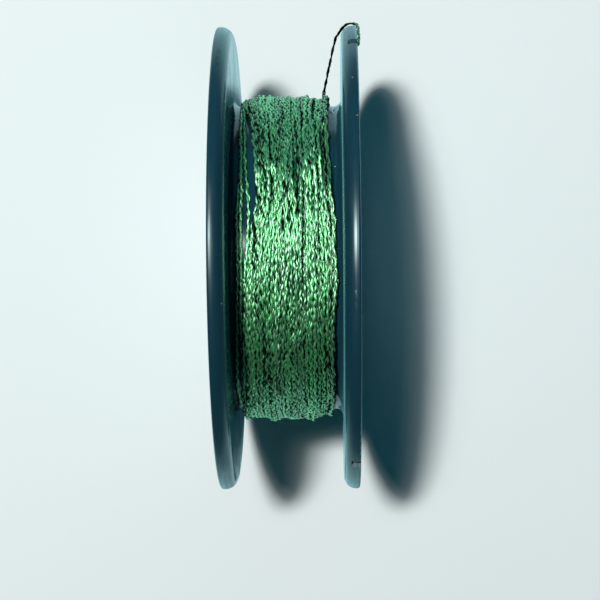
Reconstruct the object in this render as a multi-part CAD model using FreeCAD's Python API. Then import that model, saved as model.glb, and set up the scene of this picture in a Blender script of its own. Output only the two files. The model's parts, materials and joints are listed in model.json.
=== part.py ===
"""A fishing line spool, part used: two glossy flanges on a hollow drum, with braided line wound on it.

All sizes are in millimetres. The spool's axis is +Y and its centre is the origin. It stands on its two
rims, so +Z is up. The flange at +Y is the one with the notches that hold the line's free end.
Angles round the axis are measured from -X, upwards: 0 degrees is -X and 90 degrees is +Z.
"""

import FreeCAD, Part
import math
import os

from FreeCAD import Vector

# Flanges
FLANGE_RADIUS = 35.0
SPOOL_WIDTH = 20.8
RIM_THICKNESS = 2.35
RIM_ROUNDING = 1.75
OUTER_CORNER_ROUNDING = 0.35
RIM_BEAD_WIDTH = 2.6
LABEL_RECESS = 0.8
ROOT_FILLET = 1.2

# Snap fingers that hold a flange in the drum
FINGER_COUNT = 6
FINGER_LENGTH = 2.4
FINGER_THICKNESS = 1.3
FINGER_SLOT_WIDTH = 6.0
BARB_HEIGHT = 0.35
BARB_LENGTH = 0.8
SNAP_CLEARANCE = 0.1

# Drum and hub
DRUM_RADIUS = 23.0
DRUM_WALL = 1.9
DRUM_WEB_THICKNESS = 1.6
BORE_RADIUS = 5.1
HUB_WALL = 1.9
HUB_SETBACK = 0.2
HUB_FIT_CLEARANCE = 0.1
RIB_COUNT = 6
RIB_THICKNESS = 1.2
RIB_DEPTH = 3.0
JOINT_CLEARANCE = 0.05

# Notches in the outer half of the right flange's rim, which hold the line's free end
TAG_NOTCH_ANGLE = 26.6
SPARE_NOTCH_ANGLE = 146.6
NOTCH_MOUTH_WIDTH = 1.8
NOTCH_FLOOR_WIDTH = 0.5
NOTCH_DEPTH = 2.0
NOTCH_REACH = 1.4

# Labels, one on the outer face of each flange
LABEL_THICKNESS = 0.15
LABEL_EDGE_MARGIN = 0.6
LABEL_HOLE_MARGIN = 1.5

# Adhesive tape that holds the first turn on the drum
TAPE_THICKNESS = 0.1
TAPE_WIDTH = 6.0
TAPE_ANGLE = 36.0
TAPE_MIDDLE_ANGLE = 60.0

# Braided line. The bare strips run from its pack's sides to where the drum turns up into the flanges.
# The pack's height above the drum is given at its left side, its crown and its right side.
LINE_DIAMETER = 0.45
LINE_CLEARANCE = 0.03
BARE_STRIP_LEFT = 1.05
BARE_STRIP_RIGHT = 0.45
PACK_CROWN = -2.0
PACK_HEIGHT_LEFT = 1.4
PACK_HEIGHT_CROWN = 1.8
PACK_HEIGHT_RIGHT = 0.6
CORE_LEAST_THICKNESS = 0.12

# The outer layer, as one tube: stray turns that start in the corner beside the left flange, then turns
# over the pack, whose last half turn sweeps to the right, to where the free end leaves
STRAY_IN_CORNER = 0.15
STRAY_HEIGHT = 0.32
STRAY_TURNS = 1.5
FALL_START = 0.35
FALL_END = 0.85
TOP_PITCH_LEAST = 0.88
TOP_MARGIN_RIGHT = 1.2
END_SWEEP = 0.8
END_SWEEP_TURNS = 0.5
LEAST_GAP = 0.4

# Free end of the line after it leaves the pack: distance from the axis, degrees beyond the notch, and
# place along the axis
TAG_ROUTE = [
    (34.2, -26.2, 7.75),
    (35.4, -23.8, 9.0),
    (35.45, -20.3, 10.5),
    (34.95, -15.4, 11.0),
    (34.6, -9.6, 10.9),
    (34.45, -4.6, 10.95),
    (34.3, -1.0, 10.95),
    (34.1, 0.3, 10.05),
    (33.95, 0.1, 9.1),
]
ARC_SHARE = 0.45

# Places along the axis, out from the middle of the spool
OUTER_FACE = SPOOL_WIDTH / 2
RIM_FACE = OUTER_FACE - RIM_THICKNESS
DRUM_END = RIM_FACE - ROOT_FILLET
RECESS_FACE = OUTER_FACE - LABEL_RECESS
FINGER_END = DRUM_END - FINGER_LENGTH
HUB_END = OUTER_FACE - HUB_SETBACK
PACK_LEFT = BARE_STRIP_LEFT - DRUM_END
PACK_RIGHT = DRUM_END - BARE_STRIP_RIGHT
STRAY_START = -DRUM_END - STRAY_IN_CORNER
TOP_LEFT = PACK_LEFT + LINE_DIAMETER / 2
TOP_RIGHT = PACK_RIGHT - TOP_MARGIN_RIGHT
TOP_TURNS = math.floor((TOP_RIGHT - TOP_LEFT) / TOP_PITCH_LEAST)

# Distances from the axis
DRUM_BORE = DRUM_RADIUS - DRUM_WALL
FINGER_RADIUS = DRUM_BORE - SNAP_CLEARANCE
BARB_RADIUS = FINGER_RADIUS + BARB_HEIGHT
GROOVE_RADIUS = BARB_RADIUS + SNAP_CLEARANCE
HUB_RADIUS = BORE_RADIUS + HUB_WALL
FLANGE_HOLE = HUB_RADIUS + HUB_FIT_CLEARANCE
BEAD_INNER_RADIUS = FLANGE_RADIUS - RIM_BEAD_WIDTH
LINE_RADIUS = LINE_DIAMETER / 2

AXIS = Vector(0, 1, 0)
ORIGIN = Vector(0, 0, 0)
OVERCUT = 1.0


def around(radius, degrees, along):
    """The point at a distance from the axis, an angle above -X and a place along the axis."""
    angle = math.radians(degrees)
    return Vector(-radius * math.cos(angle), along, radius * math.sin(angle))


def turned(outline):
    """The solid that an outline sweeps round the axis. Its points are (distance from axis, place along
    axis), and a bend is a pair: the arc's middle point, then its end."""
    edges = []
    start = outline[0]
    here = Vector(start[0], start[1], 0)
    for step in outline[1:] + [start]:
        if isinstance(step[0], tuple):
            middle, end = (Vector(p[0], p[1], 0) for p in step)
            edges.append(Part.Arc(here, middle, end).toShape())
        else:
            end = Vector(step[0], step[1], 0)
            edges.append(Part.LineSegment(here, end).toShape())
        here = end
    face = Part.Face(Part.Wire(edges))
    return face.revolve(ORIGIN, AXIS, 360)


def arc_step(centre, radius, middle_degrees, end_degrees):
    """A bend for an outline, on a circle given by its centre, with angles from the outward direction."""
    return tuple(
        (centre[0] + radius * math.cos(math.radians(a)), centre[1] + radius * math.sin(math.radians(a)))
        for a in (middle_degrees, end_degrees)
    )


def spaced_round(shape, count):
    """Copies of a shape at equal angles round the axis."""
    copies = []
    for k in range(count):
        copy = shape.copy()
        copy.rotate(ORIGIN, AXIS, 360.0 * k / count)
        copies.append(copy)
    return copies


def radial_bar(inner, outer, width, low, high):
    """A bar along +X from one distance from the axis to another, between two places along the axis."""
    return Part.makeBox(outer - inner, high - low, width, Vector(inner, low, -width / 2))


def mirrored(shape):
    """The shape on the other side of the spool's middle plane."""
    return shape.mirror(ORIGIN, AXIS)


def plain_flange():
    """The flange at +Y: a rim with a small rounding outside and a wide one inside, a shoulder with a
    hollow corner that carries on the drum's surface, and a ring with barbs."""
    corner = OUTER_CORNER_ROUNDING
    outer_corner = arc_step((FLANGE_RADIUS - corner, OUTER_FACE - corner), corner, 45, 0)
    rounding = arc_step((FLANGE_RADIUS - RIM_ROUNDING, RIM_FACE + RIM_ROUNDING), RIM_ROUNDING, -45, -90)
    root = arc_step((DRUM_RADIUS + ROOT_FILLET, DRUM_END), ROOT_FILLET, 135, 180)
    outline = [
        (FLANGE_HOLE, RECESS_FACE),
        (BEAD_INNER_RADIUS, RECESS_FACE),
        (BEAD_INNER_RADIUS, OUTER_FACE),
        (FLANGE_RADIUS - corner, OUTER_FACE),
        outer_corner,
        (FLANGE_RADIUS, RIM_FACE + RIM_ROUNDING),
        rounding,
        (DRUM_RADIUS + ROOT_FILLET, RIM_FACE),
        root,
        (FINGER_RADIUS, DRUM_END),
        (FINGER_RADIUS, FINGER_END + BARB_LENGTH),
        (BARB_RADIUS, FINGER_END + BARB_LENGTH),
        (FINGER_RADIUS, FINGER_END),
        (FINGER_RADIUS - FINGER_THICKNESS, FINGER_END),
        (FINGER_RADIUS - FINGER_THICKNESS, RIM_FACE),
        (FLANGE_HOLE, RIM_FACE),
    ]
    slot = radial_bar(
        FINGER_RADIUS - FINGER_THICKNESS - OVERCUT,
        BARB_RADIUS + OVERCUT,
        FINGER_SLOT_WIDTH,
        FINGER_END - OVERCUT,
        DRUM_END,
    )
    return turned(outline).cut(spaced_round(slot, FINGER_COUNT))


def notch(degrees):
    """The wedge that cuts a notch into the rim and out through its outer face."""
    floor = FLANGE_RADIUS - NOTCH_DEPTH
    past_rim = NOTCH_DEPTH + OVERCUT
    half_floor = NOTCH_FLOOR_WIDTH / 2
    half_top = half_floor + (NOTCH_MOUTH_WIDTH - NOTCH_FLOOR_WIDTH) / 2 * past_rim / NOTCH_DEPTH
    start = OUTER_FACE - NOTCH_REACH
    corners = [
        Vector(-floor, start, -half_floor),
        Vector(-floor - past_rim, start, -half_top),
        Vector(-floor - past_rim, start, half_top),
        Vector(-floor, start, half_floor),
    ]
    face = Part.Face(Part.makePolygon(corners + corners[:1]))
    wedge = face.extrude(Vector(0, NOTCH_REACH + OVERCUT, 0))
    wedge.rotate(ORIGIN, AXIS, degrees)
    return wedge


def right_flange():
    return plain_flange().cut([notch(TAG_NOTCH_ANGLE), notch(SPARE_NOTCH_ANGLE)])


def drum_core():
    """The drum's tube and the hub's tube, joined by a web in the middle and by ribs."""
    groove_outer = FINGER_END + BARB_LENGTH + SNAP_CLEARANCE
    groove_inner = FINGER_END - SNAP_CLEARANCE
    end = DRUM_END - JOINT_CLEARANCE
    half_web = DRUM_WEB_THICKNESS / 2
    upper = [
        (HUB_RADIUS, HUB_END),
        (HUB_RADIUS, half_web),
        (DRUM_BORE, half_web),
        (DRUM_BORE, groove_inner),
        (GROOVE_RADIUS, groove_inner),
        (GROOVE_RADIUS, groove_outer),
        (DRUM_BORE, groove_outer),
        (DRUM_BORE, end),
        (DRUM_RADIUS, end),
    ]
    lower = [(r, -y) for r, y in reversed(upper)]
    outline = [(BORE_RADIUS, -HUB_END), (BORE_RADIUS, HUB_END)] + upper + lower
    body = turned(outline)
    sunk = JOINT_CLEARANCE
    rib = radial_bar(HUB_RADIUS - sunk, DRUM_BORE + sunk, RIB_THICKNESS, -RIB_DEPTH, RIB_DEPTH)
    return body.fuse(spaced_round(rib, RIB_COUNT)).removeSplitter()


def label():
    """The disc label in the recess of the flange at +Y."""
    outer = BEAD_INNER_RADIUS - LABEL_EDGE_MARGIN
    inner = FLANGE_HOLE + LABEL_HOLE_MARGIN
    face = RECESS_FACE + LABEL_THICKNESS
    return turned([(inner, RECESS_FACE), (outer, RECESS_FACE), (outer, face), (inner, face)])


def tape_patch(inner, outer, margin=0.0):
    """Part of a thin tube round the drum, where the tape is. The margin widens it on all four edges."""
    half_width = TAPE_WIDTH / 2 + margin
    half_angle = TAPE_ANGLE / 2 + math.degrees(margin / DRUM_RADIUS)
    ring = [(inner, -half_width), (outer, -half_width), (outer, half_width), (inner, half_width)]
    corners = [Vector(r, y, 0) for r, y in ring]
    face = Part.Face(Part.makePolygon(corners + corners[:1]))
    patch = face.revolve(ORIGIN, AXIS, 2 * half_angle)
    patch.rotate(ORIGIN, AXIS, 180 + TAPE_MIDDLE_ANGLE - half_angle)
    return patch


def anchor_tape():
    return tape_patch(DRUM_RADIUS, DRUM_RADIUS + TAPE_THICKNESS)


def crown_circle():
    """The circle through the pack's three heights: its centre along the axis and above the drum, and
    its radius."""
    (a, p), (b, q), (c, s) = (
        (PACK_LEFT, PACK_HEIGHT_LEFT),
        (PACK_CROWN, PACK_HEIGHT_CROWN),
        (PACK_RIGHT, PACK_HEIGHT_RIGHT),
    )
    d = 2 * (a * (q - s) + b * (s - p) + c * (p - q))
    aa, bb, cc = a * a + p * p, b * b + q * q, c * c + s * s
    along = (aa * (q - s) + bb * (s - p) + cc * (p - q)) / d
    above = (aa * (c - b) + bb * (a - c) + cc * (b - a)) / d
    return along, above, math.hypot(a - along, p - above)


def pack_height(along):
    """How far the outside of the wound line stands above the drum at a place along the axis."""
    middle, above, radius = crown_circle()
    return above + math.sqrt(radius**2 - (along - middle) ** 2)


def line_core():
    """The inner layers, which the outer layer hides, as one crowned ring. It stops on the right where
    less than its least thickness is left under the outer layer."""
    inner = DRUM_RADIUS + LINE_CLEARANCE
    drop = LINE_DIAMETER + 2 * LINE_CLEARANCE
    right = PACK_RIGHT
    while pack_height(right) - drop < CORE_LEAST_THICKNESS:
        right -= LINE_CLEARANCE
    tops = [
        (DRUM_RADIUS + pack_height(y) - drop, y)
        for y in (PACK_LEFT, (PACK_LEFT + right) / 2, right)
    ]
    outline = [(inner, PACK_LEFT), tops[0], (tops[1], tops[2]), (inner, right)]
    pocket = tape_patch(DRUM_RADIUS, DRUM_RADIUS + TAPE_THICKNESS + LINE_CLEARANCE, LINE_CLEARANCE)
    return turned(outline).cut(pocket)


def tag_start():
    """Where the free end leaves the pack: its distance from the axis, its angle, which makes the
    straight stretch to the rim touch the pack, and its place along the axis."""
    along = TOP_RIGHT + END_SWEEP
    radius = DRUM_RADIUS + pack_height(along) - LINE_RADIUS
    distance, beyond = TAG_ROUTE[0][:2]
    below = math.degrees(math.acos(radius / distance))
    return radius, TAG_NOTCH_ANGLE + beyond - below, along


def tag_corners():
    """The corners of the free end's route, from the pack to its cut end beside the rim."""
    corners = [around(*tag_start())]
    for distance, beyond, along in TAG_ROUTE:
        corners.append(around(distance, TAG_NOTCH_ANGLE + beyond, along))
    return corners


def rounded_route(corners):
    """A wire of straight runs joined by arcs, each as large as its two runs allow."""
    edges = []
    here = corners[0]
    for before, corner, after in zip(corners, corners[1:], corners[2:]):
        back, on = before - corner, after - corner
        half_turn = (math.pi - back.getAngle(on)) / 2
        reach = ARC_SHARE * min(back.Length, on.Length)
        radius = reach / math.tan(half_turn)
        back.normalize()
        on.normalize()
        middle_way = back + on
        middle_way.normalize()
        start, end = corner + back * reach, corner + on * reach
        middle = corner + middle_way * (radius / math.cos(half_turn) - radius)
        edges.append(Part.LineSegment(here, start).toShape())
        edges.append(Part.Arc(start, middle, end).toShape())
        print(f"free end: a turn of {math.degrees(2 * half_turn):.0f} degrees at {radius:.2f} mm radius")
        here = end
    edges.append(Part.LineSegment(here, corners[-1]).toShape())
    return Part.Wire(edges)


def tube(path, start_direction):
    """The line's round section swept along a path."""
    start = path.Edges[0].Vertexes[0].Point
    section = Part.Wire(Part.makeCircle(LINE_RADIUS, start, start_direction))
    swept = Part.BRepOffsetAPI.MakePipeShell(path)
    swept.add(section)
    swept.build()
    swept.makeSolid()
    solid = swept.shape()
    expected = math.pi * LINE_RADIUS**2 * path.Length
    print(f"tube {path.Length:.1f} mm long, {solid.Volume / expected:.4f} of its section times its length")
    return solid


def line_tag():
    """The free end of the line: straight from the pack to the rim, over it, along it and into a notch."""
    corners = tag_corners()
    return tube(rounded_route(corners), corners[1] - corners[0])


def eased(share):
    """Runs smoothly from 0 to 1 as the share does, and stays there outside that range."""
    share = min(1.0, max(0.0, share))
    return share * share * (3 - 2 * share)


def winding_place(turns):
    """Distance from the axis and place along it after a number of turns, counted back from where the
    free end leaves. The stray turns lie on the drum, and climb the pack's left side from there."""
    high = pack_height(TOP_LEFT) - LINE_RADIUS
    if turns > TOP_TURNS:
        share = (turns - TOP_TURNS) / STRAY_TURNS
        along = TOP_LEFT + share * (STRAY_START - TOP_LEFT)
        fall = eased((share - FALL_START) / (FALL_END - FALL_START))
        return DRUM_RADIUS + high + (STRAY_HEIGHT - high) * fall, along
    along = TOP_RIGHT - turns * (TOP_RIGHT - TOP_LEFT) / TOP_TURNS
    along += END_SWEEP * max(0.0, 1 - turns / END_SWEEP_TURNS) ** 2
    return DRUM_RADIUS + pack_height(along) - LINE_RADIUS, along


def biarc(start, start_way, end, end_way):
    """Two arcs in space that join two points, with a given direction at each and one where they meet."""
    chord = end - start
    both = start_way + end_way
    a = 2 * (1 - start_way.dot(end_way))
    b = 2 * chord.dot(both)
    reach = (-b + math.sqrt(b * b + 4 * a * chord.dot(chord))) / (2 * a)
    first_corner, second_corner = start + start_way * reach, end - end_way * reach
    join = (first_corner + second_corner) * 0.5
    edges = []
    for p, corner, q in ((start, first_corner, join), (join, second_corner, end)):
        away = corner - (p + q) * 0.5
        half_chord = (q - p).Length / 2
        radius = half_chord * math.hypot(half_chord, away.Length) / away.Length
        depth = radius - math.sqrt(radius**2 - half_chord**2)
        away.normalize()
        edges.append(Part.Arc(p, (p + q) * 0.5 + away * depth, q).toShape())
    return edges


def line_top_layer():
    """The outer layer as one tube on pairs of arcs, a quarter turn each, with straight ends. It ends
    where and how the free end starts."""
    corners = tag_corners()
    end_angle = tag_start()[1]
    quarters = int(round(4 * (TOP_TURNS + STRAY_TURNS)))
    step = 1e-3

    def point(turns):
        radius, along = winding_place(turns)
        return around(radius, end_angle - 360 * turns, along)

    places, ways = [], []
    for quarter in range(quarters, -1, -1):
        turns = quarter / 4
        way = point(max(0, turns - step)) - point(turns + step)
        way.normalize()
        places.append(point(turns))
        ways.append(way)
    ways[-1] = corners[1] - corners[0]
    ways[-1].normalize()
    places[-1] = corners[0] - ways[-1] * LINE_DIAMETER
    edges = [Part.LineSegment(places[0] - ways[0] * LINE_DIAMETER, places[0]).toShape()]
    for k in range(quarters):
        edges += biarc(places[k], ways[k], places[k + 1], ways[k + 1])
    print_least_gap(edges[1:])
    edges.append(Part.LineSegment(places[-1], corners[0]).toShape())
    return tube(Part.Wire(edges), ways[0])


def print_least_gap(edges):
    """Measures the least gap between one turn and the next on points along the path's arcs, eight to
    a turn."""
    per_edge = 30
    points = []
    for edge in edges:
        points += edge.discretize(per_edge + 1)[:-1]
    per_turn = 8 * per_edge
    nearby = per_turn // 16
    apart, where = min(
        (points[k].distanceToPoint(points[m]), k / per_turn)
        for k in range(len(points))
        for m in range(k + per_turn - nearby, min(k + per_turn + nearby, len(points)))
    )
    gap = apart - LINE_DIAMETER
    print(f"outer layer: least gap {gap:.3f} mm after {where:.1f} turns, and it has to be over {LEAST_GAP}")


def main():
    flange, disc = plain_flange(), label()
    shapes = {
        "left_flange": mirrored(flange),
        "right_flange": right_flange(),
        "drum_core": drum_core(),
        "left_label": mirrored(disc),
        "right_label": disc,
        "anchor_tape": anchor_tape(),
        "line_core": line_core(),
        "line_top_layer": line_top_layer(),
        "line_tag": line_tag(),
    }
    os.makedirs("parts", exist_ok=True)
    for name, shape in shapes.items():
        solids = shape.Solids
        shape = solids[0] if len(solids) == 1 else Part.makeCompound(solids)
        shape.exportStep(f"parts/{name}.step")
        box = shape.BoundBox
        print(
            f"{name}: {len(solids)} solid, valid {shape.isValid()}, {shape.Volume:.2f} mm3, "
            f"X {box.XMin:.2f} to {box.XMax:.2f}, Y {box.YMin:.2f} to {box.YMax:.2f}, "
            f"Z {box.ZMin:.2f} to {box.ZMax:.2f}"
        )


main()
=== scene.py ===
"""A part-used spool of braided fishing line, dressed and lit on a pale table.

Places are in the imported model's frame: the spool's axis is +Y through the bore's centre, and +Z is up.
Angles round the axis are measured from -X, upwards: 0 degrees is -X and 90 degrees is +Z.
"""

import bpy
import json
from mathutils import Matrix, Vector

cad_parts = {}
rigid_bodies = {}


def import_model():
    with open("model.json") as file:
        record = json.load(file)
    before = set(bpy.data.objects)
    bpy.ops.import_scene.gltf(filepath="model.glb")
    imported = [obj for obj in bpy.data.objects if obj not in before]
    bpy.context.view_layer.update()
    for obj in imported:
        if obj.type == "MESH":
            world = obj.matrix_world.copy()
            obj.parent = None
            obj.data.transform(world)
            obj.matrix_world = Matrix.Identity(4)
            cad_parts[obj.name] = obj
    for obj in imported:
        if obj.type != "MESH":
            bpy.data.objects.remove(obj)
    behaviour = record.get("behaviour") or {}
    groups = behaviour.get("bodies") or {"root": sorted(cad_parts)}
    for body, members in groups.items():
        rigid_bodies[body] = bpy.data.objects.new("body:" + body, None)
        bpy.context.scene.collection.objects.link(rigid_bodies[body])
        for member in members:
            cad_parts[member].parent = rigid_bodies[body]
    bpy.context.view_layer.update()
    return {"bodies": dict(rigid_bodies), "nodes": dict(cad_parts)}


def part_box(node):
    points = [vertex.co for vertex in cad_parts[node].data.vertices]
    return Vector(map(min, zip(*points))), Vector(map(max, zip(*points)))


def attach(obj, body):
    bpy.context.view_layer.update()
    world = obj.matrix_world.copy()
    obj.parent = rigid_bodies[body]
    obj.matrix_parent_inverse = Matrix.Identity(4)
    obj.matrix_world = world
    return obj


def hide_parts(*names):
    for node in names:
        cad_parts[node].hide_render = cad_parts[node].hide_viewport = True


bl_info = {
    "name": "Fishing line spool",
    "version": (1, 0, 0),
    "blender": (4, 5, 0),
    "location": "View3D > Sidebar > Spool",
    "description": "Winds braided line on a spool, finishes its mouldings and sets the table and light",
    "category": "Object",
}

import json
import math
from functools import partial

import bpy
import numpy as np
from bpy.props import FloatProperty, FloatVectorProperty, IntProperty, PointerProperty
from mathutils import Matrix, Vector

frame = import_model()
BODY = next(iter(frame["bodies"]))
MM = 0.001

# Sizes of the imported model, in millimetres
FLANGE_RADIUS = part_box("left_flange")[1][0] / MM
OUTER_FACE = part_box("right_flange")[1][1] / MM
DRUM_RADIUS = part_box("drum_core")[1][0] / MM
PACK_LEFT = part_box("line_core")[0][1] / MM
RIM_FACE = OUTER_FACE - 2.35
ROOT_FILLET = 1.2
DRUM_END = RIM_FACE - ROOT_FILLET
PACK_RIGHT = DRUM_END - 0.45

# The pack's height above the drum at its left side, its crown and its right side, as in the source
PACK_CROWN = -2.0
PACK_HEIGHTS = ((PACK_LEFT, 1.4), (PACK_CROWN, 1.8), (PACK_RIGHT, 0.6))

# Where the outermost turns' outer edges lie round the spool, by angle
LEFT_EDGE = (
    (10, -6.3), (23, -6.0), (33, -5.3), (45, -4.9), (55, -4.6), (63, -4.25), (67, -4.15), (71.5, -4.35),
    (75.5, -4.77), (79, -5.05), (84.5, -5.24), (90, -5.49), (96, -5.73), (103, -5.92), (125, -6.2), (140, -6.4),
    (170, -6.9), (250, -6.8), (330, -6.7),
)  # fmt: skip
RIGHT_EDGE = (
    (10, 6.2), (44, 6.2), (62, 6.63), (76, 7.05), (92, 7.45), (103, 7.4), (119, 6.95), (150, 7.1), (165, 6.6),
    (250, 6.5), (330, 6.3),
)  # fmt: skip

# The free end's route, beside that of the source: distance from the axis, angle, and place along the axis
TAG_ROUTE = (
    (24.0, -44.0, 3.6),
    (33.1, -0.9, 7.05),
    (34.1, 0.9, 7.85),
    (35.38, 3.0, 8.9),
    (35.3, 5.6, 10.35),
    (34.95, 9.5, 10.66),
    (34.6, 15.0, 10.64),
    (34.45, 20.5, 10.64),
    (34.3, 25.4, 10.62),
    (34.1, 26.9, 10.0),
    (33.95, 26.7, 9.1),
)

# The turns that slipped off the pack's left side: degrees since the angle where the line leaves the pack, and
# place along the axis
SLIPPED = (
    (0, -6.6), (64, -6.6), (98, -6.42), (110, -6.68), (115, -6.86), (125, -6.87), (141, -6.78), (160, -7.1),
    (183, -7.4), (207, -6.95), (244, -6.9), (304, -6.75), (404, -6.75), (441, -6.54), (458, -6.33),
    (480, -6.33), (487, -6.25), (501, -6.36), (510, -6.48), (544, -6.6), (574, -6.75), (700, -6.6),
    (764, -6.5), (791, -6.28), (812, -5.91), (825, -5.5), (833, -5.26), (842, -5.16), (850, -5.4),
    (862, -5.8), (880, -6.0), (910, -6.3), (980, -6.6), (1124, -6.5),
)  # fmt: skip

# How far the layers under the outside one reach to the right
DEEP_RIGHT = 4.0
MIDDLE_RIGHT = 5.6

# Half the line's width where it lies on the spool, and the pack's mean radius
LINE_HALF = 0.28
MEAN_RADIUS = 24

# Braided layers that the bed leaves room for, and turns that slipped off
LAID_LAYERS = 4
STRAY_TURNS = 3

# The grid that the winding is laid on, in cells round the spool and steps across it
TURN_CELLS = 1000
ACROSS_STEP = 0.04
ACROSS_START = -7.8
ACROSS_CELLS = 391
ACROSS_PLACES = ACROSS_START + ACROSS_STEP * np.arange(ACROSS_CELLS)


def linear(code):
    """An sRGB hex colour as linear red, green and blue."""
    parts = [int(code[k : k + 2], 16) / 255 for k in (1, 3, 5)]
    return tuple(c / 12.92 if c <= 0.04045 else ((c + 0.055) / 1.055) ** 2.4 for c in parts)


def length(name, description, millimetres):
    return FloatProperty(
        name=name, description=description, default=millimetres * MM, min=0.0, unit="LENGTH", precision=5
    )


def amount(name, description, value):
    return FloatProperty(name=name, description=description, default=value, min=0.0)


def colour(name, description, code):
    return FloatVectorProperty(
        name=name, description=description, subtype="COLOR", size=3, min=0, max=1, default=linear(code)
    )


class SpoolLineSizes(bpy.types.PropertyGroup):
    """Sizes of the braided line and of its winding"""

    tag_width: length("Line diameter", "Diameter of the line where it is pulled straight", 0.45)
    width: length("Width on the spool", "Width of the line where it lies on the spool", 0.56)
    room: length("Room on the spool", "Width that a turn keeps for itself among its neighbours", 0.44)
    thickness: length("Thickness on the spool", "Thickness of the line where it lies on the spool", 0.38)
    strand: length("Strand width", "Width of each of the braid's four flat strands", 0.32)
    strand_depth: length("Strand thickness", "Thickness of each of the braid's four flat strands", 0.19)
    lay: length("Lay length", "Length in which a strand goes once round the line", 4.4)
    pitch: length("Turn pitch", "Distance from one turn to the next", 0.47)
    wander: length("Wander", "How far a turn strays to the side of its place", 0.13)
    looseness: length("Looseness", "How far a strand strays from its place in the braid", 0.06)
    seed: IntProperty(name="Seed", description="Start of the winding's random draws", default=7, min=0)


class SpoolColours(bpy.types.PropertyGroup):
    """Colours of the spool's finishes"""

    # The line's colour on its strands' tops, and painted shade for its hollows and for turns that lie under
    # others
    line_pale: colour("Line, proud parts", "Sheen of the line's outermost strands", "#5AEE88")
    line_painted_shade: colour("Line, hollows", "Sheen of the line in its hollows", "#003020")
    plastic: colour("Mouldings", "Colour of the flanges and the drum", "#123744")
    gloss: colour("Mouldings' gloss", "Tint of the reflections on the flanges and the drum", "#E0F8F6")
    haze: colour("Mouldings' haze", "Tint of the haze that grazing light shows on them", "#8CEFF6")
    label: colour("Labels", "Colour of the bare label film", "#C9D2D3")
    tape: colour("Tape", "Colour of the anchor tape", "#B9A25E")
    lint: colour("Lint", "Colour of the dust on the mouldings", "#B7D4CC")
    table: colour("Table", "Colour of the table top", "#EEF6F4")
    # A bluer copy of the table's colour that only the spool sees, painted as the light that the table gives it
    bounce: colour("Table's bounce", "Colour of the table top in the light that it gives the spool", "#C6F2F8")


class SpoolLight(bpy.types.PropertyGroup):
    """The lamp over the table and the room's own light"""

    lamp_distance: length("Lamp distance", "Distance of the lamp from the spool", 1500)
    lamp_size: length("Lamp size", "Diameter of the lamp", 160)
    shade_size: length("Shade size", "Diameter of its shade", 320)
    # The radius of the painted pool of light on the table, as the spool sees it
    painted_pool_radius: length("Lit radius", "How far the lit part of the table reaches", 155)
    lamp_share: amount("Lamp level", "Light on the table, where 1 shows its colour as written", 0.93)
    shade_share: amount("Shade's part", "Part of the light that comes from the shade round the lamp", 0.3)
    room: amount("Room level", "Brightness of the room overhead", 0.042)
    window: amount("Near wall level", "Brightness of the wall towards -X", 0.3)


def add_node(tree, kind, inputs=None, **settings):
    """Adds a node, gives it its settings, and sets or links its inputs. A node among them stands for its
    first output."""
    node = tree.nodes.new(kind)
    for name, value in settings.items():
        setattr(node, name, value)
    for key, value in (inputs or {}).items():
        if isinstance(value, bpy.types.Node):
            value = value.outputs[0]
        if isinstance(value, bpy.types.NodeSocket):
            tree.links.new(value, node.inputs[key])
        else:
            node.inputs[key].default_value = value
    return node


def blank_material(name):
    """A material that has no nodes yet, and the function that adds them."""
    material = bpy.data.materials.new(name)
    material.use_nodes = True
    material.node_tree.nodes.clear()
    return material, partial(add_node, material.node_tree)


def shaded(material, **inputs):
    """Ends a material's nodes in one shader, whose sockets are given with underscores for blanks."""
    sockets = {key.replace("_", " "): value for key, value in inputs.items()}
    shader = add_node(material.node_tree, "ShaderNodeBsdfPrincipled", sockets)
    add_node(material.node_tree, "ShaderNodeOutputMaterial", {"Surface": shader})
    return material


def rgba(value):
    return (value[0], value[1], value[2], 1.0)


def object_pattern(add, size, stretch=(1, 1, 1)):
    """Object coordinates in steps of a size in millimetres, stretched for a pattern."""
    place = add("ShaderNodeTexCoord").outputs["Object"]
    scale = [share / (size * MM) for share in stretch]
    return add("ShaderNodeMapping", {"Vector": place, "Scale": scale})


def axis_distance(add, across):
    """Distance from the object's axis, whose own direction is the one without a 1."""
    place = add("ShaderNodeTexCoord").outputs["Object"]
    flat = add("ShaderNodeVectorMath", {0: place, 1: across}, operation="MULTIPLY")
    return add("ShaderNodeVectorMath", {0: flat}, operation="LENGTH").outputs["Value"]


def clouded(add, colour, darkest, size, detail):
    """A colour that clouds of a size in millimetres darken, down to a share of it."""
    cloud = add("ShaderNodeTexNoise", {"Vector": object_pattern(add, size), "Scale": 1.0, "Detail": detail})
    mixed = add(
        "ShaderNodeMix",
        {"Factor": cloud, "A": rgba([c * darkest for c in colour]), "B": rgba(colour)},
        data_type="RGBA",
    )
    return mixed.outputs["Result"]


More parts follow.
